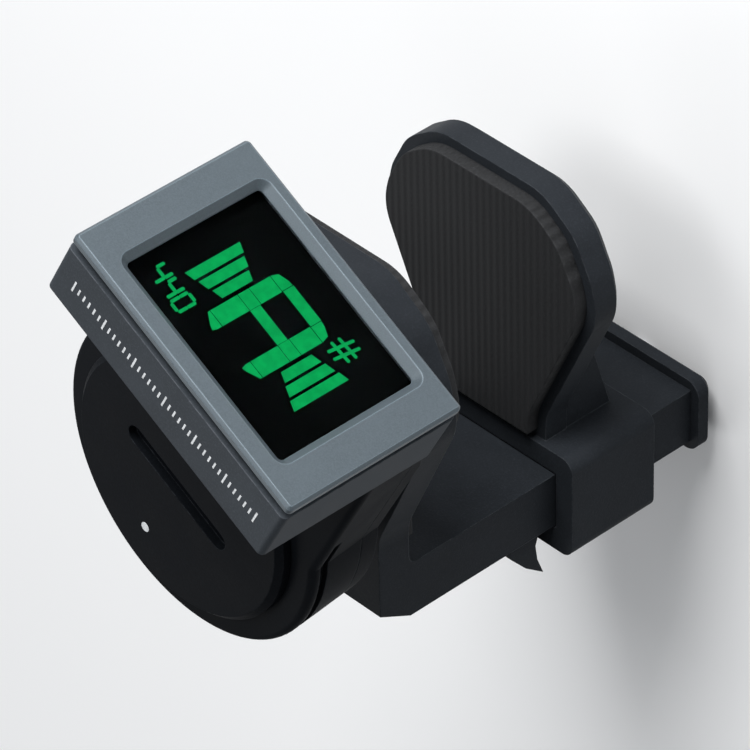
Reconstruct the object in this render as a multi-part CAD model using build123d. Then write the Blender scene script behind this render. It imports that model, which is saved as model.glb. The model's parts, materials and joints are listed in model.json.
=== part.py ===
from build123d import *
import os
from math import radians, tan

# Clip-on instrument tuner. Millimetres, +Z up.
# Origin: the swivel axis where it meets the fixed jaw pad's contact face.
# The display looks along -Y. The headstock lies below the fixed pad, between the two jaws.

# ---- driving dimensions -------------------------------------------------------------------
CLIP_TURN = 29.0            # angle of the clip about the swivel axis, display facing -Y
GAP = 14.0                  # jaw gap at rest: a ukulele headstock's thickness

# clip
PAD_T = 1.2                 # thickness of each rubber pad
PLATE_T = 3.2               # fixed jaw plate
PLATE_FRONT = 15.3          # front edge of the jaw plates, ahead of the swivel axis
NOSE_HALF = 6.3             # half width of that front edge
SHOULDER = (10.6, -12.3)    # corners of the plan on the way to the widest place: across, along
CHEEK = (12.7, -8.2)
WIDEST = (13.6, -4.3)
ARM_HALF = 7.7              # half width of the rack arm
ARM_IN = 12.8               # inner face of the arm, behind the swivel axis
ARM_OUT = 18.0              # outer face of the arm
ARM_END = -30.0             # lower end of the arm
TAPER_TO = 8.6              # where the plate has narrowed to the arm's width
JAW_ROUND = 5.0             # rounding of the corners of that plan
CORNER_Y = 1.7              # bevelled outer corner between plate and arm
CORNER_Z = 3.2
INNER_R = 0.8               # rounding in the corner between plate and arm
RACK_HALF = 2.5             # half width of the channel that holds the rack
RACK_DEPTH = 2.4            # depth of the channel
TOOTH = 0.6                 # height of a rack tooth
PITCH = 1.5                 # pitch of the rack teeth

# swivel
BOSS_R = 9.0                # raised ring on the fixed jaw
BOSS_TOP = 5.6
NECK_R = 8.5                # ring under the battery housing
NECK_BOTTOM = 5.9
POST_R = 3.5                # swivel post
RUN = 0.05                  # running clearance of the post in its bore

# battery housing
BODY_R = 13.9               # round end at the top, around the coin cell
BODY_HALF = 12.6            # half width at the top of the straight stretch to the display
BODY_DRAFT = 4.1            # the side wall leans in towards the bottom, degrees
BODY_TOP = 16.6
BODY_SPLIT = 11.3           # joint between the shell and the base
BODY_BOTTOM = 9.3
BODY_WALL = 1.3
RAMP_END = -15.3            # the underside slopes up from here to the bottom of the pod
GROOVE_FROM = -9.3          # grip groove around the round end
GROOVE_TOP = 15.8
GROOVE_BOTTOM = 15.0
CELL_R = 10.0               # CR2032: 20.0 across, 3.2 thick
CELL_T = 3.2
CELL_BOTTOM = 13.2
LID_R = 11.5
LID_TOP = 17.9
SLOT_LENGTH = 12.0          # coin slot in the lid
SLOT_WIDTH = 1.8

# display pod
POD_HALF = 12.85            # half length
POD_BOTTOM = 11.0
POD_TOP = 27.9
POD_FRONT = -27.5
POD_BACK = -19.9
BEZEL_T = 0.7               # visible edge of the front bezel
SEAM = 0.9                  # width of the groove between the bezel and the housing
SEAM_DEPTH = 0.6
POD_WALL = 1.1
WINDOW_W = 18.4
WINDOW_H = 13.05
WINDOW_MID = 19.13          # the window sits a little low in the bezel
WINDOW_BEVEL = 0.65
BEZEL_CORNER = 0.4
POD_CORNER = 0.5
KEY_X = 7.5                 # pitch of the keys on the back of the pod
KEY_Z = 23.6

POD_MID = (POD_TOP + POD_BOTTOM) / 2
POD_HEIGHT = POD_TOP - POD_BOTTOM
MOVING_PAD = -GAP


# ---- helpers ------------------------------------------------------------------------------
def block(x0, x1, y0, y1, z0, z1):
    """Box between two corners."""
    size = Box(x1 - x0, y1 - y0, z1 - z0)
    return Pos((x0 + x1) / 2, (y0 + y1) / 2, (z0 + z1) / 2) * size


def disc(radius, z0, z1, x=0.0, y=0.0):
    """Upright cylinder between two levels."""
    return Pos(x, y, (z0 + z1) / 2) * Cylinder(radius, z1 - z0)


def ring(outer, inner, z0, z1, x=0.0, y=0.0):
    return disc(outer, z0, z1, x, y) - disc(inner, z0 - 1, z1 + 1, x, y)


def slab(outline, z0, z1):
    """Extrude a sketch on the XY plane between two levels."""
    return extrude(Pos(0, 0, z0) * outline, z1 - z0)


def facing(width, height, corner, y0, y1, x=0.0, z=POD_MID):
    """Plate that faces along Y, with rounded corners, between y0 and y1."""
    plane = Plane(origin=(x, y0, z), x_dir=(1, 0, 0), z_dir=(0, -1, 0))
    outline = RectangleRounded(width, height, corner) if corner else Rectangle(width, height)
    return extrude(plane * outline, -(y1 - y0))


def rod(radius, y0, y1, x, z):
    """Cylinder along Y."""
    return Pos(x, (y0 + y1) / 2, z) * Rot(90, 0, 0) * Cylinder(radius, y1 - y0)


def bar(radius, x0, x1, y, z):
    """Cylinder along X."""
    return Pos((x0 + x1) / 2, y, z) * Rot(0, 90, 0) * Cylinder(radius, x1 - x0)


def profile(points, half_width):
    """Extrude a profile given as (y, z) points across X."""
    plane = Plane(origin=(0, 0, 0), x_dir=(0, 1, 0), z_dir=(1, 0, 0))
    return extrude(plane * Polygon(*points, align=None), half_width, both=True)


def vertical_edges(part):
    return part.edges().filter_by(Axis.Z)


def edges_at(part, z):
    return part.edges().filter_by_position(Axis.Z, z - 0.01, z + 0.01)


def turned(part):
    """Place a piece of the clip at the clip's angle."""
    return Rot(0, 0, CLIP_TURN) * part


def save(name, part):
    part.label = name
    export_step(part, f"parts/{name}.step")


# ---- clip, modelled facing -Y and then turned ------------------------------------------------
def jaw_outline(inset, back):
    """Plan of a jaw: a shield that narrows to the arm's width at the back."""
    right = [
        (NOSE_HALF, -PLATE_FRONT),
        SHOULDER,
        CHEEK,
        WIDEST,
        (ARM_HALF, TAPER_TO),
        (ARM_HALF, ARM_OUT + 5),
    ]
    left = [(-x, y) for x, y in reversed(right)]
    shield = Polygon(*right, *left, align=None)
    if inset:
        shield = offset(shield, amount=-inset, kind=Kind.INTERSECTION)
    shield = fillet(shield.vertices().filter_by_position(Axis.Y, -20, 10), JAW_ROUND)
    return shield & Pos(0, back - 25) * Rectangle(40, 50)


def rack_channel():
    """Space of the channel in the arm's outer face, with the sawtooth rack as its floor."""
    floor = ARM_OUT - RACK_DEPTH
    top = 0.5
    count = int((top - ARM_END) / PITCH)
    points = [(ARM_OUT + 1, top), (floor, top)]
    for i in range(count):
        z = top - i * PITCH
        points.append((floor + TOOTH, z - 0.85 * PITCH))
        points.append((floor, z - PITCH))
    points.append((floor, ARM_END - 1))
    points.append((ARM_OUT + 1, ARM_END - 1))
    return profile(points, RACK_HALF)


def clip_bracket():
    """Fixed jaw plate, swivel ring and rack arm in one moulding."""
    top = PAD_T + PLATE_T
    plate = slab(jaw_outline(0, ARM_OUT), PAD_T, top)
    arm = block(-ARM_HALF, ARM_HALF, ARM_IN, ARM_OUT, ARM_END, top)
    part = plate + arm
    bevel = [
        (ARM_OUT - CORNER_Y, top),
        (ARM_OUT, top - CORNER_Z),
        (ARM_OUT + 1, top - CORNER_Z),
        (ARM_OUT + 1, top + 1),
        (ARM_OUT - CORNER_Y, top + 1),
    ]
    part = part - profile(bevel, ARM_HALF + 1)
    inner = [e for e in edges_at(part, PAD_T) if abs(e.center().Y - ARM_IN) < 0.01]
    part = fillet(inner, INNER_R)
    part = part + disc(BOSS_R, top - 0.5, BOSS_TOP)
    part = part - rack_channel()
    part = part - disc(POST_R + 0.02, 0, BOSS_TOP + 1)
    part = part - disc(5.2, 0, PAD_T + 1.0)
    part = part - bar(0.8, -3, 3, ARM_IN + 1.4, ARM_END + 1.6)
    return part


def fixed_jaw_pad():
    return slab(jaw_outline(0.9, ARM_IN - 1.9), 0, PAD_T)


def swivel_post():
    """Shouldered post: its head is trapped under the pad, its shank carries the tuner."""
    shank = disc(POST_R, PAD_T + 1.0, 9.5)
    head = disc(5.1, PAD_T + 0.02, PAD_T + 1.0)
    return shank + head - disc(0.8, 5.0, 10)


def retaining_washer():
    return ring(5.2, 1.1, 9.5, 10.2)


def swivel_screw():
    head = disc(1.9, 10.2, 11.2)
    head = chamfer(edges_at(head, 11.2), 0.25)
    shank = disc(0.78, 5.2, 10.2)
    recess = block(-1.3, 1.3, -0.25, 0.25, 10.7, 12) + block(-0.25, 0.25, -1.3, 1.3, 10.7, 12)
    return head + shank - recess


def friction_washer():
    return ring(8.2, POST_R + 0.2, BOSS_TOP + 0.05, NECK_BOTTOM - 0.05)


def arm_end_stop():
    """Cap that closes the arm and keeps the moving jaw on it."""
    z0 = ARM_END - 1.6
    cap = block(-ARM_HALF - 0.9, ARM_HALF + 0.9, ARM_IN - 0.9, ARM_OUT + 0.9, z0, ARM_END)
    cap = fillet(vertical_edges(cap), 1.4)
    cap = chamfer(edges_at(cap, z0), 0.5)
    tongue = block(-2.3, 2.3, ARM_OUT - 1.6, ARM_OUT - 0.2, ARM_END, ARM_END + 1.2)
    return cap + tongue - disc(0.8, z0 - 1, ARM_END + 1, 0, ARM_IN + 1.8)


def end_stop_screw():
    z0 = ARM_END - 1.6
    head = disc(1.5, z0 - 0.7, z0, 0, ARM_IN + 1.8)
    head = chamfer(edges_at(head, z0 - 0.7), 0.25)
    shank = disc(0.75, z0, ARM_END, 0, ARM_IN + 1.8)
    return head + shank


# ---- moving jaw -------------------------------------------------------------------------------
JAW_TOP = MOVING_PAD - PAD_T
JAW_T = 3.0
SLEEVE_TOP = MOVING_PAD - 0.6
SLEEVE_END = -23.8
SLEEVE_GAP = 0.15
PIN_Y = ARM_OUT + 1.25
PIN_Z = -19.6
PIN_R = 0.6
TAB_TOP = -9.85             # finger tab of the release lever
TAB_BOTTOM = -12.95
TAB_HALF = 7.5
TAB_GAP = 0.2
TAB_REACH = 4.3


def moving_jaw():
    """Jaw plate on a sleeve that slides on the rack arm, with two ribs and two lever ears."""
    plate = slab(jaw_outline(1.6, ARM_IN - 1.0), JAW_TOP - JAW_T, JAW_TOP)
    plate = chamfer(edges_at(plate, JAW_TOP - JAW_T).filter_by_position(Axis.Y, -20, 9), 0.7)
    wall = 2.0
    sleeve = block(
        -ARM_HALF - wall, ARM_HALF + wall,
        ARM_IN - 2.2, ARM_OUT + 2.4,
        SLEEVE_END, SLEEVE_TOP,
    )
    sleeve = fillet(vertical_edges(sleeve), 1.2)
    part = plate + sleeve
    for x in (-5.2, 5.2):
        corners = [
            (ARM_IN - 1, JAW_TOP - 1),
            (ARM_IN - 1, SLEEVE_END + 1),
            (-4, JAW_TOP - JAW_T + 0.2),
            (-4, JAW_TOP - 1),
        ]
        rib = profile(corners, 0.8)
        part = part + Pos(x, 0, 0) * rib
    bore = block(
        -ARM_HALF - SLEEVE_GAP, ARM_HALF + SLEEVE_GAP,
        ARM_IN - SLEEVE_GAP, ARM_OUT + SLEEVE_GAP,
        SLEEVE_END - 1, SLEEVE_TOP + 1,
    )
    window = block(-2.4, 2.4, ARM_OUT, ARM_OUT + 4, PIN_Z - 1.9, SLEEVE_TOP + 1)
    return part - bore - window - bar(PIN_R + 0.01, -4.6, 4.6, PIN_Y, PIN_Z)


def moving_jaw_pad():
    return slab(jaw_outline(2.5, ARM_IN - 3.0), JAW_TOP, MOVING_PAD)


def lever_pin():
    return bar(PIN_R, -4.6, 4.6, PIN_Y, PIN_Z)


def release_lever():
    """Pawl lever: barrel on the pin, a nose over the rack and a full-width finger tab."""
    crest = ARM_OUT - RACK_DEPTH + TOOTH
    nose = crest + 0.1
    back = crest + 0.6
    pawl = [
        (PIN_Y - 0.9, PIN_Z),
        (back, PIN_Z + 1.2),
        (back, PIN_Z + 4.6),
        (nose, PIN_Z + 5.2),
        (nose, PIN_Z + 5.9),
        (back, PIN_Z + 6.9),
        (back, TAB_TOP - 1.5),
        (back + 0.5, TAB_TOP - 0.4),
        (ARM_OUT - 0.2, TAB_TOP),
        (ARM_OUT + 0.5, TAB_TOP),
        (ARM_OUT + 0.5, TAB_BOTTOM),
        (ARM_OUT - 0.1, TAB_BOTTOM),
        (ARM_OUT - 0.1, PIN_Z + 2.0),
        (PIN_Y + 0.95, PIN_Z),
    ]
    tab = [
        (ARM_OUT + TAB_GAP, TAB_TOP),
        (ARM_OUT + 1.0, TAB_TOP - 0.1),
        (ARM_OUT + 2.8, TAB_TOP - 1.7),
        (ARM_OUT + TAB_REACH, TAB_BOTTOM - 0.55),
        (ARM_OUT + 2.6, TAB_BOTTOM + 0.1),
        (ARM_OUT + 1.1, TAB_BOTTOM + 0.3),
        (ARM_OUT + TAB_GAP, TAB_BOTTOM),
    ]
    lever = profile(pawl, 1.9) + profile(tab, TAB_HALF)
    lever = lever + bar(1.05, -1.9, 1.9, PIN_Y, PIN_Z)
    lever = lever - bar(PIN_R + RUN, -3, 3, PIN_Y, PIN_Z)
    pocket = block(0.4, 2.0, PIN_Y - 1.2, PIN_Y + 1.4, PIN_Z - 1.2, PIN_Z + 1.25)
    return lever - pocket


def lever_spring():
    """Torsion spring beside the lever's barrel, around the pin."""
    turns = 3.5
    wire = 0.14
    pitch = 0.36
    helix = Helix(pitch=pitch, height=turns * pitch, radius=0.95)
    section = Plane(origin=helix @ 0, z_dir=helix % 0) * Circle(wire)
    coil = sweep(section, path=helix)
    return Pos(0.55, PIN_Y, PIN_Z) * Rot(0, 90, 0) * coil


# ---- battery housing --------------------------------------------------------------------------
def body_outline(inset):
    """Plan of the housing: a disc around the cell, and a straight neck to the pod."""
    neck = Pos(0, POD_BACK / 2) * Rectangle(2 * (BODY_HALF - inset), -POD_BACK)
    return Circle(BODY_R - inset) + neck


def drafted(z0, z1):
    """Housing between two levels with its leaning side wall: the round end and the neck."""
    lean = tan(radians(BODY_DRAFT))
    in0 = (BODY_TOP - z0) * lean
    in1 = (BODY_TOP - z1) * lean
    round_end = Pos(0, 0, (z0 + z1) / 2) * Cone(BODY_R - in0, BODY_R - in1, z1 - z0)
    corners = [
        (in0 - BODY_HALF, z0),
        (BODY_HALF - in0, z0),
        (BODY_HALF - in1, z1),
        (in1 - BODY_HALF, z1),
    ]
    plane = Plane(origin=(0, POD_BACK, 0), x_dir=(1, 0, 0), z_dir=(0, -1, 0))
    return round_end + extrude(plane * Polygon(*corners, align=None), POD_BACK)


def body_shell():
    """Upper shell: side wall, top face with the lid's opening, and the cell's pocket."""
    outer = drafted(BODY_SPLIT, BODY_TOP)
    outer = fillet(edges_at(outer, BODY_TOP).filter_by_position(Axis.Y, POD_BACK + 0.1, 20), 0.6)
    groove = slab(body_outline(-1), GROOVE_BOTTOM, GROOVE_TOP) & block(-20, 20, GROOVE_FROM, 20, 0, 20)
    groove = groove - slab(body_outline(0.65), GROOVE_BOTTOM - 1, GROOVE_TOP + 1)
    inner = slab(body_outline(BODY_WALL), BODY_SPLIT - 1, BODY_TOP - 1.2)
    inner = inner & block(-20, 20, POD_BACK + 1.0, 20, 0, 20)
    shell = outer - groove - inner
    shell = shell + ring(11.2, CELL_R + 0.25, CELL_BOTTOM - 0.8, CELL_BOTTOM + 1.1)
    shell = shell + disc(BODY_R - BODY_WALL, CELL_BOTTOM - 0.8, CELL_BOTTOM - 0.3)
    for x in (-BOSS_X, BOSS_X):
        shell = shell + disc(1.7, BODY_SPLIT + 0.7, BODY_TOP - 1, x, BOSS_Y)
        shell = shell + block(x - 1.6, x + 1.6, POD_BACK + 0.9, POD_BACK + 4.5, 12.4, BODY_TOP - 1)
    shell = shell & (slab(body_outline(0), BODY_SPLIT, BODY_TOP + 1))
    shell = shell - disc(OPENING_R, BODY_TOP - 1.3, BODY_TOP + 1)
    for angle in LID_TABS:
        notch = ring(TAB_R + 0.1, 10, BODY_TOP - 1.3, BODY_TOP + 1) & sector(angle + LID_OPEN, TAB_SPAN + 2)
        shell = shell - notch
    front = block(-2.6, 2.6, -12, -9.6, CELL_BOTTOM - 0.3, CELL_BOTTOM + 1.2)
    side = Rot(0, 0, PLUS_ANGLE) * block(-2.9, 2.9, -12, -9.6, CELL_BOTTOM - 0.3, CELL_BOTTOM + 1.2)
    shell = shell - front - side
    passage = block(-5, 5, POD_BACK - 1, POD_BACK + 2, 12.2, 15.0)
    for x in (-BOSS_X, BOSS_X):
        shell = shell - disc(0.82, BODY_SPLIT, 14.9, x, BOSS_Y)
        shell = shell - rod(0.82, POD_BACK - 0.5, POD_BACK + 3.6, x, POD_SCREW_Z)
    return shell - passage


BOSS_X = 8.7
BOSS_Y = -13.6
POD_SCREW_Z = 14.0
PLUS_ANGLE = 48.0
LID_TABS = (90.0, 210.0, 330.0)
LID_OPEN = 30.0
TAB_SPAN = 20.0
OPENING_R = 10.75
TAB_R = 11.35


def sector(angle, span):
    """Upright wedge centred on an angle about the Z axis."""
    reach = BODY_R + 4
    half = reach * tan(radians(span / 2))
    wedge = Polygon((0, 0), (reach, -half), (reach, half), align=None)
    return Rot(0, 0, angle) * slab(wedge, 0, 30)


def body_base():
    """Clip-side cover with the swivel neck and the post's bearing."""
    plate = drafted(BODY_BOTTOM, BODY_SPLIT - 0.05)
    plate = chamfer(edges_at(plate, BODY_BOTTOM).filter_by_position(Axis.Y, POD_BACK + 0.1, 20), 0.2)
    ramp = [
        (POD_BACK - 1, POD_BOTTOM + 0.05),
        (POD_BACK, POD_BOTTOM + 0.05),
        (RAMP_END, BODY_BOTTOM),
        (RAMP_END, BODY_BOTTOM - 1),
        (POD_BACK - 1, BODY_BOTTOM - 1),
    ]
    plate = plate - profile(ramp, 20)
    spigot = slab(body_outline(BODY_WALL + 0.12), BODY_SPLIT - 0.05, BODY_SPLIT + 0.5)
    spigot = spigot & block(-20, 20, POD_BACK + 1.15, 20, 0, 20)
    neck = disc(NECK_R, NECK_BOTTOM, BODY_BOTTOM + 0.2)
    neck = chamfer(edges_at(neck, NECK_BOTTOM), 0.4)
    part = plate + spigot + neck
    part = part - disc(POST_R + RUN, 0, 20)
    part = part - disc(5.7, 8.8, 20)
    part = part - ring(11.6, 7.2, BODY_BOTTOM + 1.1, 20)
    for x in (-BOSS_X, BOSS_X):
        part = part - disc(0.85, 0, 20, x, BOSS_Y)
        part = part - disc(1.5, 0, BODY_BOTTOM + 0.6, x, BOSS_Y)
    return part


def base_screws():
    """Two screws that hold the base to the shell."""
    group = []
    for x in (-BOSS_X, BOSS_X):
        head = disc(1.35, BODY_BOTTOM, BODY_BOTTOM + 0.6, x, BOSS_Y)
        shank = disc(0.8, BODY_BOTTOM + 0.6, 14.6, x, BOSS_Y)
        slot = block(x - 0.9, x + 0.9, BOSS_Y - 0.2, BOSS_Y + 0.2, BODY_BOTTOM - 1, BODY_BOTTOM + 0.3)
        group.append(head + shank - slot)
    return Compound(children=group)


def wave_washer():
    """Spring washer that loads the swivel, its wave drawn as four raised pads."""
    part = ring(5.3, POST_R + 0.25, 8.85, 9.1)
    for i in range(4):
        part = part + Rot(0, 0, 90 * i) * block(4.0, 5.2, -0.7, 0.7, 9.1, 9.4)
    return part


def piezo_disc():
    return disc(9.0, BODY_SPLIT + 0.52, BODY_SPLIT + 0.72)


def piezo_element():
    return disc(6.4, BODY_SPLIT + 0.72, BODY_SPLIT + 0.92)


def coin_cell():
    """CR2032: a wide can, and a narrower cap below it."""
    can = disc(CELL_R, CELL_BOTTOM + 0.7, CELL_BOTTOM + CELL_T)
    can = fillet(edges_at(can, CELL_BOTTOM + CELL_T), 0.25)
    return can + disc(8.9, CELL_BOTTOM, CELL_BOTTOM + 0.7)


def contact_negative():
    """Leaf spring under the cell, with its tail led to the pod."""
    leaf = block(-2, 2, -15.0, 3.5, CELL_BOTTOM - 0.28, CELL_BOTTOM - 0.1)
    bump = disc(0.9, CELL_BOTTOM - 0.1, CELL_BOTTOM, 0, 0)
    return leaf + bump


def contact_positive():
    """Bent strip that presses on the rim of the cell."""
    upright = block(-2.2, 2.2, -11.05, -10.85, CELL_BOTTOM - 0.28, CELL_BOTTOM + 1.0)
    foot = block(-2.2, 2.2, -12.4, -10.85, CELL_BOTTOM - 0.28, CELL_BOTTOM - 0.1)
    finger = block(-0.9, 0.9, -10.85, -10.02, CELL_BOTTOM + 0.75, CELL_BOTTOM + 1.0)
    return Rot(0, 0, PLUS_ANGLE) * (upright + foot + finger)


def battery_lid():
    """Coin-slot lid: raised cap, skirt around the cell, and bayonet tabs under the top wall."""
    cap = disc(LID_R, BODY_TOP + 0.1, LID_TOP)
    cap = chamfer(edges_at(cap, LID_TOP), 0.5)
    skirt_bottom = CELL_BOTTOM + 1.25
    cap = cap + disc(OPENING_R - 0.1, skirt_bottom, BODY_TOP + 0.1)
    cap = cap - disc(CELL_R + 0.15, skirt_bottom - 1, CELL_BOTTOM + CELL_T + 0.05)
    for angle in LID_TABS:
        tab = ring(TAB_R, OPENING_R - 0.4, skirt_bottom, BODY_TOP - 1.3) & sector(angle, TAB_SPAN)
        cap = cap + tab
    slot = Pos(0, 0, LID_TOP) * SlotOverall(SLOT_LENGTH, SLOT_WIDTH)
    return cap - extrude(slot, -0.8)


def flex_cable():
    """Flat cable from the contacts and the pickup up to the display board."""
    low = block(-4, 4, -18.0, -15.0, CELL_BOTTOM - 0.28, CELL_BOTTOM - 0.13)
    run = block(-4, 4, -21.3, -18.0, CELL_BOTTOM - 0.28, CELL_BOTTOM - 0.13)
    rise = block(-4, 4, -21.45, -21.3, CELL_BOTTOM - 0.28, 16.6)
    return low + run + rise


# ---- display pod ------------------------------------------------------------------------------
BEZEL_BACK = POD_FRONT + BEZEL_T
HOUSING_FRONT = BEZEL_BACK + SEAM
LENS_FRONT = POD_FRONT + 0.7
BOARD_BACK = POD_FRONT + 5.5


def front_bezel():
    """Front frame with a bevelled window, a stepped back and four snap tabs."""
    frame = facing(2 * POD_HALF, POD_HEIGHT, BEZEL_CORNER, POD_FRONT, BEZEL_BACK)
    front_edges = frame.edges().filter_by_position(Axis.Y, POD_FRONT - 0.01, POD_FRONT + 0.01)
    frame = chamfer(front_edges, 0.25)
    width = 2 * (POD_HALF - SEAM_DEPTH)
    step = facing(width, POD_HEIGHT - 2 * SEAM_DEPTH, 0.5, BEZEL_BACK, HOUSING_FRONT)
    frame = frame + step
    for x in (-11.25, 11.25):
        for z in (POD_MID - 4.5, POD_MID + 4.5):
            frame = frame + block(x - 0.25, x + 0.25, HOUSING_FRONT, HOUSING_FRONT + 2.0, z - 1.2, z + 1.2)
    window = facing(WINDOW_W, WINDOW_H, 0.4, POD_FRONT - 1, HOUSING_FRONT + 1, 0, WINDOW_MID)
    rebate = facing(WINDOW_W + 1.7, WINDOW_H + 0.9, 0.5, LENS_FRONT, HOUSING_FRONT + 1, 0, WINDOW_MID)
    frame = frame - window - rebate
    mouth = [
        e for e in frame.edges().filter_by_position(Axis.Y, POD_FRONT - 0.01, POD_FRONT + 0.01)
        if abs(e.center().X) < WINDOW_W / 2 + 0.1 and abs(e.center().Z - WINDOW_MID) < WINDOW_H / 2 + 0.1
    ]
    return chamfer(mouth, WINDOW_BEVEL)


def display_lens():
    return facing(WINDOW_W + 1.6, WINDOW_H + 0.8, 0.45, LENS_FRONT, HOUSING_FRONT - 0.1, 0, WINDOW_MID)


def lcd_panel():
    return facing(21.6, 13.9, 0, HOUSING_FRONT, HOUSING_FRONT + 1.3, 0, WINDOW_MID)


def backlight_diffuser():
    return facing(19.4, 13.4, 0.4, HOUSING_FRONT + 1.35, HOUSING_FRONT + 2.2, 0, WINDOW_MID)


def zebra_strips():
    """Elastomer connectors between the glass and the board, one at each end."""
    group = []
    for x in (-10.3, 10.3):
        group.append(block(x - 0.45, x + 0.45, HOUSING_FRONT + 1.3, BOARD_BACK - 0.8, POD_MID - 6, POD_MID + 6))
    return Compound(children=group)


def main_board():
    return facing(22.0, 14.0, 0.5, BOARD_BACK - 0.8, BOARD_BACK)


def backlight_leds():
    group = []
    for x in (-4.5, 4.5):
        group.append(block(x - 0.8, x + 0.8, BOARD_BACK - 1.3, BOARD_BACK - 0.8, POD_MID - 0.4, POD_MID + 0.4))
    return Compound(children=group)


def controller_chip():
    """Moulded controller with a row of leads on each side."""
    chip = block(-2.5, 2.5, BOARD_BACK, BOARD_BACK + 0.85, 17.6, 20.6)
    for i in range(6):
        x = -2.0 + i * 0.8
        chip = chip + block(x - 0.15, x + 0.15, BOARD_BACK, BOARD_BACK + 0.25, 17.0, 21.2)
    return chip


def key_switches():
    """Three low dome switches on the back of the board."""
    group = []
    for x in (-KEY_X, 0, KEY_X):
        base = block(x - 1.6, x + 1.6, BOARD_BACK, BOARD_BACK + 0.3, KEY_Z - 1.6, KEY_Z + 1.6)
        group.append(base + rod(1.1, BOARD_BACK + 0.3, BOARD_BACK + 0.5, x, KEY_Z))
    return Compound(children=group)


def pod_housing():
    """Rear shell of the display pod."""
    shell = facing(2 * POD_HALF, POD_HEIGHT, POD_CORNER, HOUSING_FRONT, POD_BACK)
    shell = chamfer(shell.edges().filter_by_position(Axis.Y, POD_BACK - 0.01, POD_BACK + 0.01), 0.4)
    inner = facing(2 * (POD_HALF - POD_WALL), POD_HEIGHT - 2 * POD_WALL, 0.5, HOUSING_FRONT - 1, POD_BACK - 1.0)
    shell = shell - inner
    shell = shell - block(-5, 5, POD_BACK - 2, POD_BACK + 1, 12.7, 15.0)
    shell = shell - facing(POWER_W + 0.3, KEY_H + 0.3, KEY_H / 2 + 0.1, POD_BACK - 2, POD_BACK + 1, 0, KEY_Z)
    for x in (-KEY_X, KEY_X):
        shell = shell - rod(KEY_H / 2 + 0.15, POD_BACK - 2, POD_BACK + 1, x, KEY_Z)
    for x in (-BOSS_X, BOSS_X):
        shell = shell - rod(0.85, POD_BACK - 2, POD_BACK + 1, x, POD_SCREW_Z)
    return shell


POWER_W = 6.4
KEY_H = 2.8


def power_button():
    """Long key with a retaining flange inside the wall."""
    cap = facing(POWER_W, KEY_H, KEY_H / 2 - 0.01, POD_BACK - 1.05, POD_BACK + 0.5, 0, KEY_Z)
    face = cap.edges().filter_by_position(Axis.Y, POD_BACK + 0.49, POD_BACK + 0.51)
    cap = chamfer(face, 0.25)
    flange = facing(POWER_W + 0.9, KEY_H + 0.9, KEY_H / 2 + 0.4, POD_BACK - 1.25, POD_BACK - 1.05, 0, KEY_Z)
    return cap + flange


def round_button(x):
    cap = rod(KEY_H / 2, POD_BACK - 1.05, POD_BACK + 0.5, x, KEY_Z)
    face = cap.edges().filter_by_position(Axis.Y, POD_BACK + 0.49, POD_BACK + 0.51)
    cap = chamfer(face, 0.25)
    return cap + rod(KEY_H / 2 + 0.45, POD_BACK - 1.25, POD_BACK - 1.05, x, KEY_Z)


def pod_screws():
    """Two screws from inside the pod into the battery housing."""
    group = []
    for x in (-BOSS_X, BOSS_X):
        head = rod(1.4, POD_BACK - 1.7, POD_BACK - 1.0, x, POD_SCREW_Z)
        group.append(head + rod(0.78, POD_BACK - 1.0, POD_BACK + 3.4, x, POD_SCREW_Z))
    return Compound(children=group)


# ---- all pieces -------------------------------------------------------------------------------
CLIP_PIECES = {
    "clip_bracket": clip_bracket,
    "fixed_jaw_pad": fixed_jaw_pad,
    "swivel_post": swivel_post,
    "retaining_washer": retaining_washer,
    "swivel_screw": swivel_screw,
    "friction_washer": friction_washer,
    "arm_end_stop": arm_end_stop,
    "end_stop_screw": end_stop_screw,
    "moving_jaw": moving_jaw,
    "moving_jaw_pad": moving_jaw_pad,
    "lever_pin": lever_pin,
    "release_lever": release_lever,
    "lever_spring": lever_spring,
}
HEAD_PIECES = {
    "body_shell": body_shell,
    "body_base": body_base,
    "base_screws": base_screws,
    "wave_washer": wave_washer,
    "piezo_disc": piezo_disc,
    "piezo_element": piezo_element,
    "coin_cell": coin_cell,
    "contact_negative": contact_negative,
    "contact_positive": contact_positive,
    "battery_lid": battery_lid,
    "flex_cable": flex_cable,
    "front_bezel": front_bezel,
    "display_lens": display_lens,
    "lcd_panel": lcd_panel,
    "backlight_diffuser": backlight_diffuser,
    "backlight_leds": backlight_leds,
    "zebra_strips": zebra_strips,
    "main_board": main_board,
    "controller_chip": controller_chip,
    "key_switches": key_switches,
    "pod_housing": pod_housing,
    "pod_screws": pod_screws,
    "power_button": power_button,
}

os.makedirs("parts", exist_ok=True)
for name, make in CLIP_PIECES.items():
    save(name, turned(make()))
for name, make in HEAD_PIECES.items():
    save(name, make())
save("tune_down_button", round_button(-KEY_X))
save("tune_up_button", round_button(KEY_X))
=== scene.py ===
import json
import math

import bmesh
import bpy
from mathutils import Matrix, Vector


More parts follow.
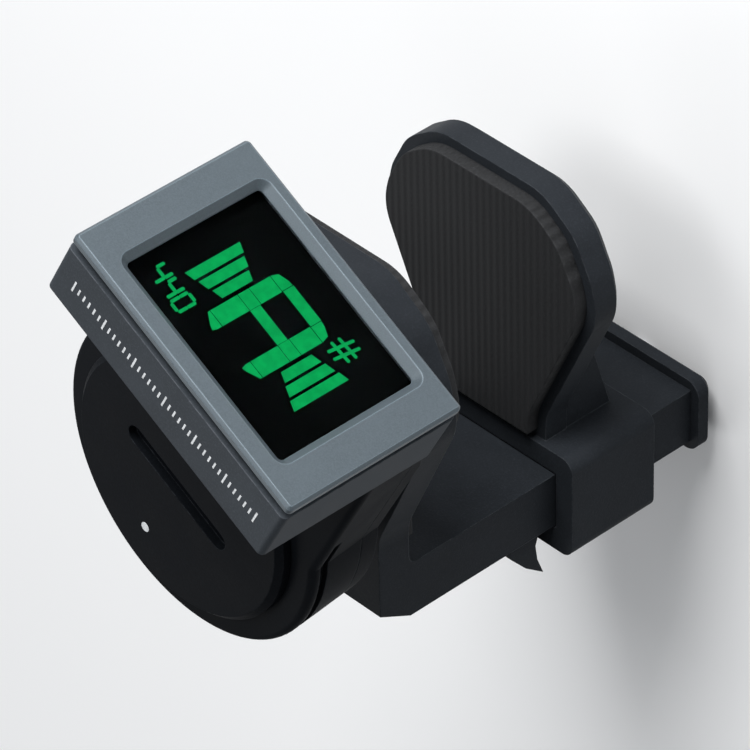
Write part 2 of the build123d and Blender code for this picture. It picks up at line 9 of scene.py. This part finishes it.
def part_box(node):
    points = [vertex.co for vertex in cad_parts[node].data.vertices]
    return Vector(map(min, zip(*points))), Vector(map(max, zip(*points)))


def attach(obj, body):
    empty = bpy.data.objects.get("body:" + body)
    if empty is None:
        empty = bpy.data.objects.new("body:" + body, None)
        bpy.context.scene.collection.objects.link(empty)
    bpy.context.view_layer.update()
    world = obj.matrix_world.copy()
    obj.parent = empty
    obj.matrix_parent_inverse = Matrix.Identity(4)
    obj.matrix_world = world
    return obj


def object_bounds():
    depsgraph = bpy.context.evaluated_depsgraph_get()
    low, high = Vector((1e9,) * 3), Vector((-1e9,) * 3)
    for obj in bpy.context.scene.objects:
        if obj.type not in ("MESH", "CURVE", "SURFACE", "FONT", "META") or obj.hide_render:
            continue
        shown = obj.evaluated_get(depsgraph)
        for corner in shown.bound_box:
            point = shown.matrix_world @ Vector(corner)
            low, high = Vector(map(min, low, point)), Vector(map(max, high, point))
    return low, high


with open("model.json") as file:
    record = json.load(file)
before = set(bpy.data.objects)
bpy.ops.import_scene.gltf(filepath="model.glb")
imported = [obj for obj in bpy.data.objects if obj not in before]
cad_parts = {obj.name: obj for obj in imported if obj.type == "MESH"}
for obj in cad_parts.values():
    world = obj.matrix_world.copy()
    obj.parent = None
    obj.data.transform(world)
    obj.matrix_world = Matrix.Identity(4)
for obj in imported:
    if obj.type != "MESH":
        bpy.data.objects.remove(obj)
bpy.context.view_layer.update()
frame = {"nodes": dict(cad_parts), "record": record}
nodes = frame["nodes"]
MM = 0.001
CLIP_TURN = math.radians(29)            # angle of the clip about the swivel axis

# ---- materials: small node-building helpers --------------------------------------------------


def scaled(color, factor):
    """The colour made lighter or darker, kept within range."""
    return tuple(min(1.0, c * factor) for c in color)


class Shader:
    """A node material with object coordinates in millimetres and one Principled shader."""

    def __init__(self, name):
        self.mat = bpy.data.materials.new(name)
        self.mat.use_nodes = True
        self.tree = self.mat.node_tree
        self.tree.nodes.clear()
        out = self.add("ShaderNodeOutputMaterial")
        self.bsdf = self.add("ShaderNodeBsdfPrincipled")
        self.link(self.bsdf.outputs[0], out.inputs["Surface"])
        coords = self.add("ShaderNodeTexCoord")
        scale = self.add("ShaderNodeMapping")
        scale.inputs["Scale"].default_value = (1 / MM, 1 / MM, 1 / MM)
        self.link(coords.outputs["Object"], scale.inputs["Vector"])
        self.mm = scale.outputs["Vector"]
        self.normal = None

    def add(self, kind, **settings):
        node = self.tree.nodes.new(kind)
        for key, value in settings.items():
            setattr(node, key, value)
        return node

    def link(self, source, target):
        self.tree.links.new(source, target)

    def stretch(self, x, y, z, turn=0.0):
        """Coordinates scaled along the axes and turned about Z."""
        node = self.add("ShaderNodeMapping")
        node.inputs["Scale"].default_value = (x, y, z)
        node.inputs["Rotation"].default_value = (0, 0, turn)
        self.link(self.mm, node.inputs["Vector"])
        return node.outputs["Vector"]

    def noise(self, per_mm, detail=3.0, rough=0.55, vector=None):
        node = self.add("ShaderNodeTexNoise")
        node.inputs["Scale"].default_value = per_mm
        node.inputs["Detail"].default_value = detail
        node.inputs["Roughness"].default_value = rough
        self.link(vector or self.mm, node.inputs["Vector"])
        return node.outputs["Fac"]

    def cells(self, per_mm):
        node = self.add("ShaderNodeTexVoronoi", feature="F1")
        node.inputs["Scale"].default_value = per_mm
        self.link(self.mm, node.inputs["Vector"])
        return node.outputs["Distance"]

    def spread(self, source, low, high, from_low, from_high):
        """The range from_low..from_high of a value, spread over low..high."""
        node = self.add("ShaderNodeMapRange")
        node.inputs["From Min"].default_value = from_low
        node.inputs["From Max"].default_value = from_high
        node.inputs["To Min"].default_value = low
        node.inputs["To Max"].default_value = high
        self.link(source, node.inputs["Value"])
        return node.outputs["Result"]

    def mix(self, factor, first, second):
        node = self.add("ShaderNodeMix", data_type="RGBA")
        self.link(factor, node.inputs["Factor"])
        for name, value in (("A_Color", first), ("B_Color", second)):
            socket = next(s for s in node.inputs if s.identifier == name)
            if isinstance(value, tuple):
                socket.default_value = (*value, 1.0)
            else:
                self.link(value, socket)
        return next(s for s in node.outputs if s.identifier == "Result_Color")

    def math(self, operation, first, second):
        node = self.add("ShaderNodeMath", operation=operation)
        for socket, value in zip(node.inputs, (first, second)):
            if isinstance(value, (int, float)):
                socket.default_value = value
            else:
                self.link(value, socket)
        return node.outputs[0]

    def edge(self, radius_mm):
        """1 along sharp edges, 0 on flats; also rounds the shading normal there."""
        bevel = self.add("ShaderNodeBevel", samples=6)
        bevel.inputs["Radius"].default_value = radius_mm * MM
        geometry = self.add("ShaderNodeNewGeometry")
        dot = self.add("ShaderNodeVectorMath", operation="DOT_PRODUCT")
        self.link(bevel.outputs[0], dot.inputs[0])
        self.link(geometry.outputs["Normal"], dot.inputs[1])
        self.normal = bevel.outputs[0]
        return self.spread(dot.outputs["Value"], 1.0, 0.0, 0.80, 0.995)

    def bump(self, height, depth_mm, strength=1.0):
        node = self.add("ShaderNodeBump")
        node.inputs["Strength"].default_value = strength
        node.inputs["Distance"].default_value = depth_mm * MM
        self.link(height, node.inputs["Height"])
        if self.normal is not None:
            self.link(self.normal, node.inputs["Normal"])
        self.normal = node.outputs["Normal"]

    def finish(self, color, roughness, **fixed):
        """Connect colour, roughness and normal; colour and roughness are values or sockets."""
        for value, socket in ((color, "Base Color"), (roughness, "Roughness")):
            if isinstance(value, tuple):
                self.bsdf.inputs[socket].default_value = (*value, 1.0)
            elif isinstance(value, float):
                self.bsdf.inputs[socket].default_value = value
            else:
                self.link(value, self.bsdf.inputs[socket])
        for key, value in fixed.items():
            self.bsdf.inputs[key.replace("_", " ")].default_value = value
        if self.normal is not None:
            self.link(self.normal, self.bsdf.inputs["Normal"])
        return self.mat


def moulded(name, color, roughness, wear, grain=7.0, depth=0.012, level=0.03):
    """Injection-moulded plastic with a spark-eroded texture and slightly polished edges."""
    s = Shader(name)
    rim = s.edge(0.14)
    patch = s.noise(0.22, 3.0)
    fine = s.noise(grain, 2.0, 0.6)
    pits = s.cells(grain * 0.8)
    s.bump(fine, depth, 0.9)
    s.bump(pits, depth * 0.6, 0.6)
    tone = s.mix(s.spread(patch, 0, 1, 0.35, 0.65), scaled(color, 0.92), scaled(color, 1.08))
    speck = s.mix(s.spread(fine, 0, 0.55, 0.5, 0.75), tone, scaled(color, 1.6))
    uneven = s.spread(s.noise(1.3), 0.15, 0.9, 0.4, 0.6)
    wear_and_highlight = s.mix(s.math("MULTIPLY", rim, uneven), speck, wear)
    rough = s.spread(patch, roughness - 0.02, roughness + 0.03, 0.35, 0.65)
    rough = s.math("SUBTRACT", rough, s.math("MULTIPLY", rim, 0.12))
    return s.finish(wear_and_highlight, rough, Specular_IOR_Level=level)


def painted(name, color, roughness):
    """Satin metallic paint over plastic: fine sparkle, and a painted highlight along the edges where
    light would catch the bevels.
    """
    s = Shader(name)
    rim = s.edge(0.16)
    fine = s.noise(9.0, 2.0, 0.7)
    patch = s.noise(0.3, 2.0)
    s.bump(fine, 0.008, 0.8)
    tone = s.mix(s.spread(fine, 0, 1, 0.3, 0.7), scaled(color, 0.84), scaled(color, 1.16))
    drift = s.mix(s.spread(patch, 0, 0.4, 0.35, 0.65), tone, scaled(color, 1.1))
    # Painted highlight: the edges are made much lighter than the paint to stand in for light catching
    # the bevels.
    wear_and_highlight = s.mix(s.math("MULTIPLY", rim, 0.75), drift, scaled(color, 4.2))
    rough = s.spread(fine, roughness - 0.07, roughness + 0.08, 0.3, 0.7)
    return s.finish(wear_and_highlight, rough, Metallic=0.25, Specular_IOR_Level=0.3)


def rubber(name, color):
    """Soft pad: dull, with fine ribs and dust in the low spots."""
    s = Shader(name)
    rim = s.edge(0.2)
    fine = s.noise(5.0, 4.0, 0.65)
    rib = s.add("ShaderNodeTexWave", wave_type="BANDS", bands_direction="X")
    rib.inputs["Scale"].default_value = 0.42
    rib.inputs["Distortion"].default_value = 0.0
    s.link(s.stretch(1, 1, 1, -CLIP_TURN), rib.inputs["Vector"])
    s.bump(rib.outputs["Fac"], 0.12, 0.7)
    s.bump(fine, 0.02, 0.8)
    dusty = s.mix(s.spread(fine, 0, 0.6, 0.45, 0.75), color, scaled(color, 2.6))
    wear_and_highlight = s.mix(s.math("MULTIPLY", rim, 0.35), dusty, scaled(color, 3.5))
    return s.finish(wear_and_highlight, s.spread(fine, 0.72, 0.92, 0.3, 0.7), Specular_IOR_Level=0.25)


def metal(name, color, roughness, lines=(0.4, 0.4, 6.0)):
    """Stamped or turned metal: fine drawing lines and a few darker patches."""
    s = Shader(name)
    rim = s.edge(0.08)
    streak = s.noise(2.2, 3.0, 0.6, s.stretch(*lines))
    stain = s.noise(0.5, 3.0)
    s.bump(streak, 0.006, 0.7)
    tone = s.mix(s.spread(stain, 0, 1, 0.4, 0.7), color, scaled(color, 0.78))
    wear_and_highlight = s.mix(s.math("MULTIPLY", rim, 0.5), tone, scaled(color, 1.25))
    rough = s.spread(streak, roughness - 0.08, roughness + 0.1, 0.3, 0.7)
    return s.finish(wear_and_highlight, rough, Metallic=1.0)


def clear_lens(name):
    """Clear window, coated against reflections, with faint handling marks in its tint."""
    s = Shader(name)
    smear = s.noise(0.9, 4.0, 0.6, s.stretch(1, 0.4, 1))
    tone = s.mix(s.spread(smear, 0, 1, 0.45, 0.8), (0.96, 0.98, 0.98), (0.92, 0.94, 0.94))
    return s.finish(tone, 0.0, Transmission_Weight=1.0, IOR=1.0, Specular_IOR_Level=0.0)


def display_glass(name, color):
    """Dark, inverted display glass: almost black, with a fine dot structure."""
    s = Shader(name)
    dots = s.cells(5.0)
    drift = s.noise(0.15, 2.0)
    tone = s.mix(s.spread(dots, 0, 1, 0.0, 0.7), color, scaled(color, 1.8))
    tone = s.mix(s.spread(drift, 0, 0.5, 0.4, 0.6), tone, scaled(color, 0.6))
    return s.finish(tone, s.spread(drift, 0.16, 0.26, 0.3, 0.7), Specular_IOR_Level=0.0)


def glowing(name, color, strength):
    """Backlit green segment: even, with the slight mottle of the diffuser behind it."""
    s = Shader(name)
    mottle = s.noise(1.2, 3.0)
    tone = s.mix(s.spread(mottle, 0, 1, 0.35, 0.65), scaled(color, 0.86), scaled(color, 1.08))
    s.link(tone, s.bsdf.inputs["Emission Color"])
    return s.finish(scaled(color, 0.05), 0.5, Emission_Strength=strength, Specular_IOR_Level=0.0)


def ink(name, color):
    """Pad-printed ink: slightly uneven cover, satin."""
    s = Shader(name)
    cover = s.noise(5.5, 4.0, 0.7)
    tone = s.mix(s.spread(cover, 0, 1, 0.35, 0.62), scaled(color, 0.66), color)
    s.bump(cover, 0.006, 0.6)
    return s.finish(tone, s.spread(cover, 0.45, 0.62, 0.3, 0.7), Specular_IOR_Level=0.3)


def board(name, color):
    """Solder mask over copper: slightly raised tracks show through."""
    s = Shader(name)
    tracks = s.add("ShaderNodeTexBrick")
    tracks.inputs["Scale"].default_value = 1.1
    tracks.inputs["Mortar Size"].default_value = 0.03
    s.link(s.mm, tracks.inputs["Vector"])
    s.bump(tracks.outputs["Fac"], 0.02, 0.7)
    fine = s.noise(3.0, 3.0)
    tone = s.mix(tracks.outputs["Fac"], color, scaled(color, 1.9))
    return s.finish(tone, s.spread(fine, 0.22, 0.36, 0.3, 0.7), Specular_IOR_Level=0.5)


def film(name, color, roughness):
    """Thin polymer, ceramic or printed film with a gentle mottle."""
    s = Shader(name)
    fine = s.noise(2.4, 4.0)
    s.bump(fine, 0.01, 0.6)
    tone = s.mix(s.spread(fine, 0, 1, 0.3, 0.7), scaled(color, 0.8), color)
    return s.finish(tone, s.spread(fine, roughness - 0.05, roughness + 0.1, 0.3, 0.7))


BLACK = (0.0062, 0.0072, 0.0088)
CLIP_GREY = (0.0165, 0.0190, 0.0225)
MATERIALS = {
    "clip_plastic": moulded("clip_plastic", CLIP_GREY, 0.46, (0.055, 0.061, 0.068), grain=6.0),
    "body_plastic": moulded("body_plastic", BLACK, 0.50, (0.030, 0.034, 0.039), level=0.015),
    "pod_plastic": moulded("pod_plastic", (0.038, 0.044, 0.051), 0.50, (0.11, 0.12, 0.135)),
    "lid_plastic": moulded("lid_plastic", (0.0048, 0.0057, 0.0072), 0.46, (0.026, 0.030, 0.035),
                           grain=5.0, level=0.015),
    "key_plastic": moulded("key_plastic", (0.045, 0.05, 0.056), 0.42, (0.12, 0.13, 0.14), depth=0.006),
    "bezel_plastic": painted("bezel_plastic", (0.060, 0.076, 0.088), 0.42),
    "pad_rubber": rubber("pad_rubber", (0.0125, 0.0130, 0.0140)),
    "steel": metal("steel", (0.58, 0.58, 0.60), 0.32),
    "cell_can": metal("cell_can", (0.70, 0.70, 0.71), 0.24, (0.5, 5.0, 0.5)),
    "contact_metal": metal("contact_metal", (0.70, 0.68, 0.62), 0.28),
    "brass": metal("brass", (0.72, 0.53, 0.24), 0.30, (5.0, 0.5, 0.5)),
    "white_acetal": film("white_acetal", (0.80, 0.79, 0.75), 0.42),
    "piezo_ceramic": film("piezo_ceramic", (0.78, 0.76, 0.72), 0.38),
    "flex_polyimide": film("flex_polyimide", (0.50, 0.22, 0.05), 0.28),
    "lens": clear_lens("lens"),
    "display_dark": display_glass("display_dark", (0.0010, 0.0012, 0.0013)),
    "diffuser": film("diffuser", (0.84, 0.88, 0.85), 0.45),
    "led": film("led", (0.86, 0.88, 0.62), 0.35),
    "board_green": board("board_green", (0.015, 0.13, 0.06)),
    "chip_black": moulded("chip_black", (0.02, 0.02, 0.022), 0.5, (0.06, 0.06, 0.06)),
}
OWN_LOOK = {"pod_housing": "pod_plastic", "battery_lid": "lid_plastic"}

for part in frame["record"]["subparts"]:
    obj = nodes[part["node"]]
    look = MATERIALS[OWN_LOOK.get(part["node"], part["material_slot"])]
    obj.data.materials.clear()
    obj.data.materials.append(look)

PRINT_WHITE = ink("print_white", (0.72, 0.74, 0.76))
PRINT_GREY = ink("print_grey", (0.33, 0.35, 0.37))
SEGMENT_GREEN = glowing("segment_green", (0.004, 0.40, 0.095), 0.86)

# ---- thin printed and lit pieces ---------------------------------------------------------------


def plates(name, polygons, place, thick, body, material):
    """One mesh of thin plates: polygons in a plane (millimetres), put in place by a matrix."""
    mesh = bmesh.new()
    for points in polygons:
        low = [mesh.verts.new((x * MM, y * MM, 0)) for x, y in points]
        face = mesh.faces.new(low)
        grown = bmesh.ops.extrude_face_region(mesh, geom=[face])
        top = [v for v in grown["geom"] if isinstance(v, bmesh.types.BMVert)]
        bmesh.ops.translate(mesh, verts=top, vec=(0, 0, thick * MM))
    bmesh.ops.recalc_face_normals(mesh, faces=mesh.faces)
    data = bpy.data.meshes.new(name)
    mesh.to_mesh(data)
    mesh.free()
    data.transform(place)
    data.materials.append(material)
    obj = bpy.data.objects.new(name, data)
    bpy.context.scene.collection.objects.link(obj)
    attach(obj, body)


def plane_at(origin, right, up):
    """Matrix that puts a drawing's x along right, y along up, and z towards the viewer."""
    right, up = Vector(right), Vector(up)
    out = right.cross(up)
    m = Matrix((right, up, out)).transposed().to_4x4()
    m.translation = Vector(origin)
    return m


def rect(x0, x1, y0, y1):
    return [(x0, y0), (x1, y0), (x1, y1), (x0, y1)]


def arc_band(radius, width, start, end, steps):
    """Band along an arc, as short quads that share their corners."""
    quads = []
    for i in range(steps):
        a = math.radians(start + (end - start) * i / steps)
        b = math.radians(start + (end - start) * (i + 1) / steps)
        inner, outer = radius - width / 2, radius + width / 2
        quads.append([
            (inner * math.cos(a), inner * math.sin(a)),
            (outer * math.cos(a), outer * math.sin(a)),
            (outer * math.cos(b), outer * math.sin(b)),
            (inner * math.cos(b), inner * math.sin(b)),
        ])
    return quads


def round_dot(x, y, radius):
    sides = 28
    step = 2 * math.pi / sides
    return [(x + radius * math.cos(i * step), y + radius * math.sin(i * step)) for i in range(sides)]


# Display: the drawing reads with its top towards -Z, so that it is upright for a player.
LCD_X = 0.2 * MM                        # middle of the drawing on the display
LCD_Z = 18.85 * MM
LCD_THICK = 0.04
LCD_GAP = 0.01 * MM                     # the drawing stands just clear of the panel
lcd_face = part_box("lcd_panel")[0].y - LCD_GAP
LCD = plane_at((LCD_X, lcd_face, LCD_Z), (-1, 0, 0), (0, 0, -1))


def meter_bars():
    """Three bars on each side of the letter, each taller than the one before."""
    width = 0.84
    drop = 0.05
    bars = []
    for side in (-1, 1):
        for i in range(3):
            near = 3.5 + 1.1 * i
            far = near + width
            short = 1.48 + 0.45 * i
            tall = short + 0.28
            bars.append([
                (side * near, -short - drop),
                (side * far, -tall - drop),
                (side * far, tall - drop),
                (side * near, short - drop),
            ])
    return bars


def note_letter():
    """The letter A, from twelve segments with hairline gaps."""
    gap = 0.035
    wide = 3.15
    narrow = 1.66
    cuts = (2.82, 0.75, -0.35, -3.02)
    pieces = []
    for side in (-1, 1):
        outer, inner = side * wide, side * narrow
        for top, bottom in zip(cuts, cuts[1:]):
            pieces.append([(outer, bottom + gap), (inner, bottom + gap),
                           (inner, top - gap), (outer, top - gap)])
        foot = cuts[-1] - gap
        pieces.append([
            (outer, foot),
            (inner, foot),
            (inner, foot - 0.42),
            (inner + side * 0.12, foot - 0.82),
            (inner + side * 0.5, foot - 0.72),
            (outer - side * 0.02, foot - 0.18),
        ])
    for side in (-1, 1):
        pieces.append([
            (side * wide, 2.86),
            (side * 1.72, 2.86),
            (side * 1.72, 3.86),
            (side * 2.2, 3.80),
            (side * 2.95, 3.5),
        ])
    pieces.append(rect(-narrow, narrow, 2.9, 3.9))
    pieces.append(rect(-1.62, 1.62, -0.33, 0.62))
    return pieces


SEGMENTS = {
    "a": ((0.18, 1.82), (0.82, 1.82)),
    "b": ((1.0, 1.74), (1.0, 1.06)),
    "c": ((1.0, 0.94), (1.0, 0.18)),
    "d": ((0.18, 0.08), (0.82, 0.08)),
    "e": ((0.0, 0.18), (0.0, 0.94)),
    "f": ((0.0, 1.06), (0.0, 1.74)),
    "g": ((0.16, 1.0), (0.84, 1.0)),
}


def stroke(start, end, width):
    """Segment of a digit with pointed ends."""
    s, e = Vector(start), Vector(end)
    along = (e - s).normalized()
    side = Vector((-along.y, along.x)) * width / 2
    tip = along * width / 2
    points = [s - tip * 0.6, s + side, e + side, e + tip * 0.6, e - side, s - side]
    return [(p.x, p.y) for p in points]


def digits(text, x, y, size, width):
    """Seven-segment digits, from the lower left corner of the first one."""
    lit = {"4": "fgbc", "0": "abcdef"}
    pitch = 1.42 * size
    shapes = []
    for i, char in enumerate(text):
        for name in lit[char]:
            (x0, y0), (x1, y1) = SEGMENTS[name]
            left = x + i * pitch
            start = (left + x0 * size, y + y0 * size)
            end = (left + x1 * size, y + y1 * size)
            shapes.append(stroke(start, end, width))
    return shapes


def sharp_sign(x, y):
    """Two leaning uprights and two slanted bars around a point."""
    width = 0.26
    shapes = []
    for offset in (-0.36, 0.36):
        shapes.append(stroke((x + offset - 0.12, y - 1.15), (x + offset + 0.12, y + 1.15), width))
        shapes.append(stroke((x - 0.95, y + offset - 0.08), (x + 0.95, y + offset + 0.08), width))
    return shapes


for name, shapes in (
    ("lcd_meter_bars", meter_bars()),
    ("lcd_note_letter", note_letter()),
    ("lcd_pitch_digits", digits("440", -7.95, -5.3, 0.98, 0.27)),
    ("lcd_sharp_sign", sharp_sign(4.45, 3.85)),
):
    plates(name, shapes, LCD, LCD_THICK, "head", SEGMENT_GREEN)

# A plain row of ticks stands where the pod's top edge is printed.
SINK = 0.01 * MM                        # how far inside a surface the printed pieces start
TICKS = 37
TICK_PITCH = 0.6
TICK_HALF = 0.085
LONG_TICK = 0.62
SHORT_TICK = 0.34
pod_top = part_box("pod_housing")[1].z
STRIP = plane_at((0, -23.1 * MM, pod_top - 2 * SINK), (1, 0, 0), (0, 1, 0))
ticks = []
for i in range(TICKS):
    x = TICK_PITCH * (i - (TICKS - 1) / 2)
    reach = LONG_TICK if i % 6 == 0 else SHORT_TICK
    ticks.append(rect(x - TICK_HALF, x + TICK_HALF, -reach, reach))
plates("strip_ticks", ticks, STRIP, 0.035, "head", PRINT_WHITE)

# Lid: the index dot, and the dots on the housing for its closed and open places.
DOTS_R = 12.25
lid_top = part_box("battery_lid")[1].z
LID = plane_at((0, 0, lid_top - SINK), (1, 0, 0), (0, 1, 0))
plates("lid_index_dot", [round_dot(0.5, 7.4, 0.42)], LID, 0.03, "lid", PRINT_WHITE)
body_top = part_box("body_shell")[1].z
DECK = plane_at((0, 0, body_top - SINK), (1, 0, 0), (0, 1, 0))
places = []
for angle in (90, 120):
    a = math.radians(angle)
    places.append(round_dot(DOTS_R * math.cos(a), DOTS_R * math.sin(a), 0.3))
plates("deck_index_dots", places, DECK, 0.022, "head", PRINT_GREY)

# Keys: a power sign, a minus and a plus, seen from behind the pod.
POWER_SIGN = arc_band(0.72, 0.17, -235, 55, 16) + [rect(-0.085, 0.085, 0.25, 1.0)]
MINUS = [rect(-0.62, 0.62, -0.1, 0.1)]
PLUS = MINUS + [rect(-0.1, 0.1, 0.11, 0.62), rect(-0.1, 0.1, -0.62, -0.11)]
for node, body, shapes in (
    ("power_button", "power_key", POWER_SIGN),
    ("tune_down_button", "down_key", MINUS),
    ("tune_up_button", "up_key", PLUS),
):
    low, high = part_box(node)
    middle = (low + high) / 2
    face = plane_at((middle.x, high.y - SINK, middle.z), (-1, 0, 0), (0, 0, 1))
    plates(node + "_mark", shapes, face, 0.03, body, PRINT_WHITE)

# ---- camera, light and floor -----------------------------------------------------------------
camera_data = bpy.data.cameras.new("camera")
camera = bpy.data.objects.new("camera", camera_data)
bpy.context.scene.collection.objects.link(camera)
bpy.context.scene.camera = camera
EYE = Vector((-98.2, -379.0, 240.8)) * MM
AIM = Vector((-0.9, -2.2, -1.0)) * MM
PHOTO_UP = Vector((0.754, -0.516, -0.406))
back = (EYE - AIM).normalized()
side = PHOTO_UP.cross(back).normalized()
pose = Matrix((side, back.cross(side), back)).transposed().to_4x4()
pose.translation = EYE
camera.matrix_world = pose
camera_data.sensor_width = 36.0
camera_data.lens = 285.0                # long lens: the same view direction, framed on the tuner
camera_data.clip_start = 0.02
camera_data.clip_end = 20.0

FLOOR_GAP = 0.2 * MM
low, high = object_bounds()
floor_mesh = bmesh.new()
bmesh.ops.create_grid(floor_mesh, x_segments=1, y_segments=1, size=3.0)
floor_data = bpy.data.meshes.new("floor")
floor_mesh.to_mesh(floor_data)
floor_mesh.free()
floor = bpy.data.objects.new("floor", floor_data)
bpy.context.scene.collection.objects.link(floor)
floor.location.z = low.z - FLOOR_GAP
paper = Shader("floor_paper")
grain = paper.noise(0.02, 4.0)
pale = paper.mix(grain, (0.90, 0.905, 0.91), (0.92, 0.925, 0.93))
floor_data.materials.append(paper.finish(pale, 0.9, Specular_IOR_Level=0.1))


def softbox(name, place_mm, target_mm, width, height, watts, color=(1, 1, 1)):
    """Rectangular area light that looks at a point; sizes in millimetres."""
    data = bpy.data.lights.new(name, "AREA")
    data.shape = "RECTANGLE"
    data.size = width * MM
    data.size_y = height * MM
    data.energy = watts
    data.color = color
    obj = bpy.data.objects.new(name, data)
    bpy.context.scene.collection.objects.link(obj)
    place, target = Vector(place_mm) * MM, Vector(target_mm) * MM
    obj.location = place
    obj.rotation_mode = "QUATERNION"
    obj.rotation_quaternion = (target - place).to_track_quat("-Z", "Y")


softbox("key", (230, -420, 170), (0, -12, 5), 300, 220, 4.0)
softbox("high", (141, -297, 440), (0, -12, 5), 220, 160, 0.85)
softbox("rim", (-330, 190, 210), (0, 0, 0), 160, 220, 0.10, (0.95, 0.98, 1.0))
softbox("back_top", (120, 420, 330), (0, 0, 5), 260, 200, 0.45)

world = bpy.data.worlds.new("studio")
bpy.context.scene.world = world
world.use_nodes = True
sky = world.node_tree.nodes["Background"]
sky.inputs["Color"].default_value = (0.95, 0.97, 1.0, 1.0)
sky.inputs["Strength"].default_value = 0.27
bpy.context.scene.view_settings.view_transform = "Standard"
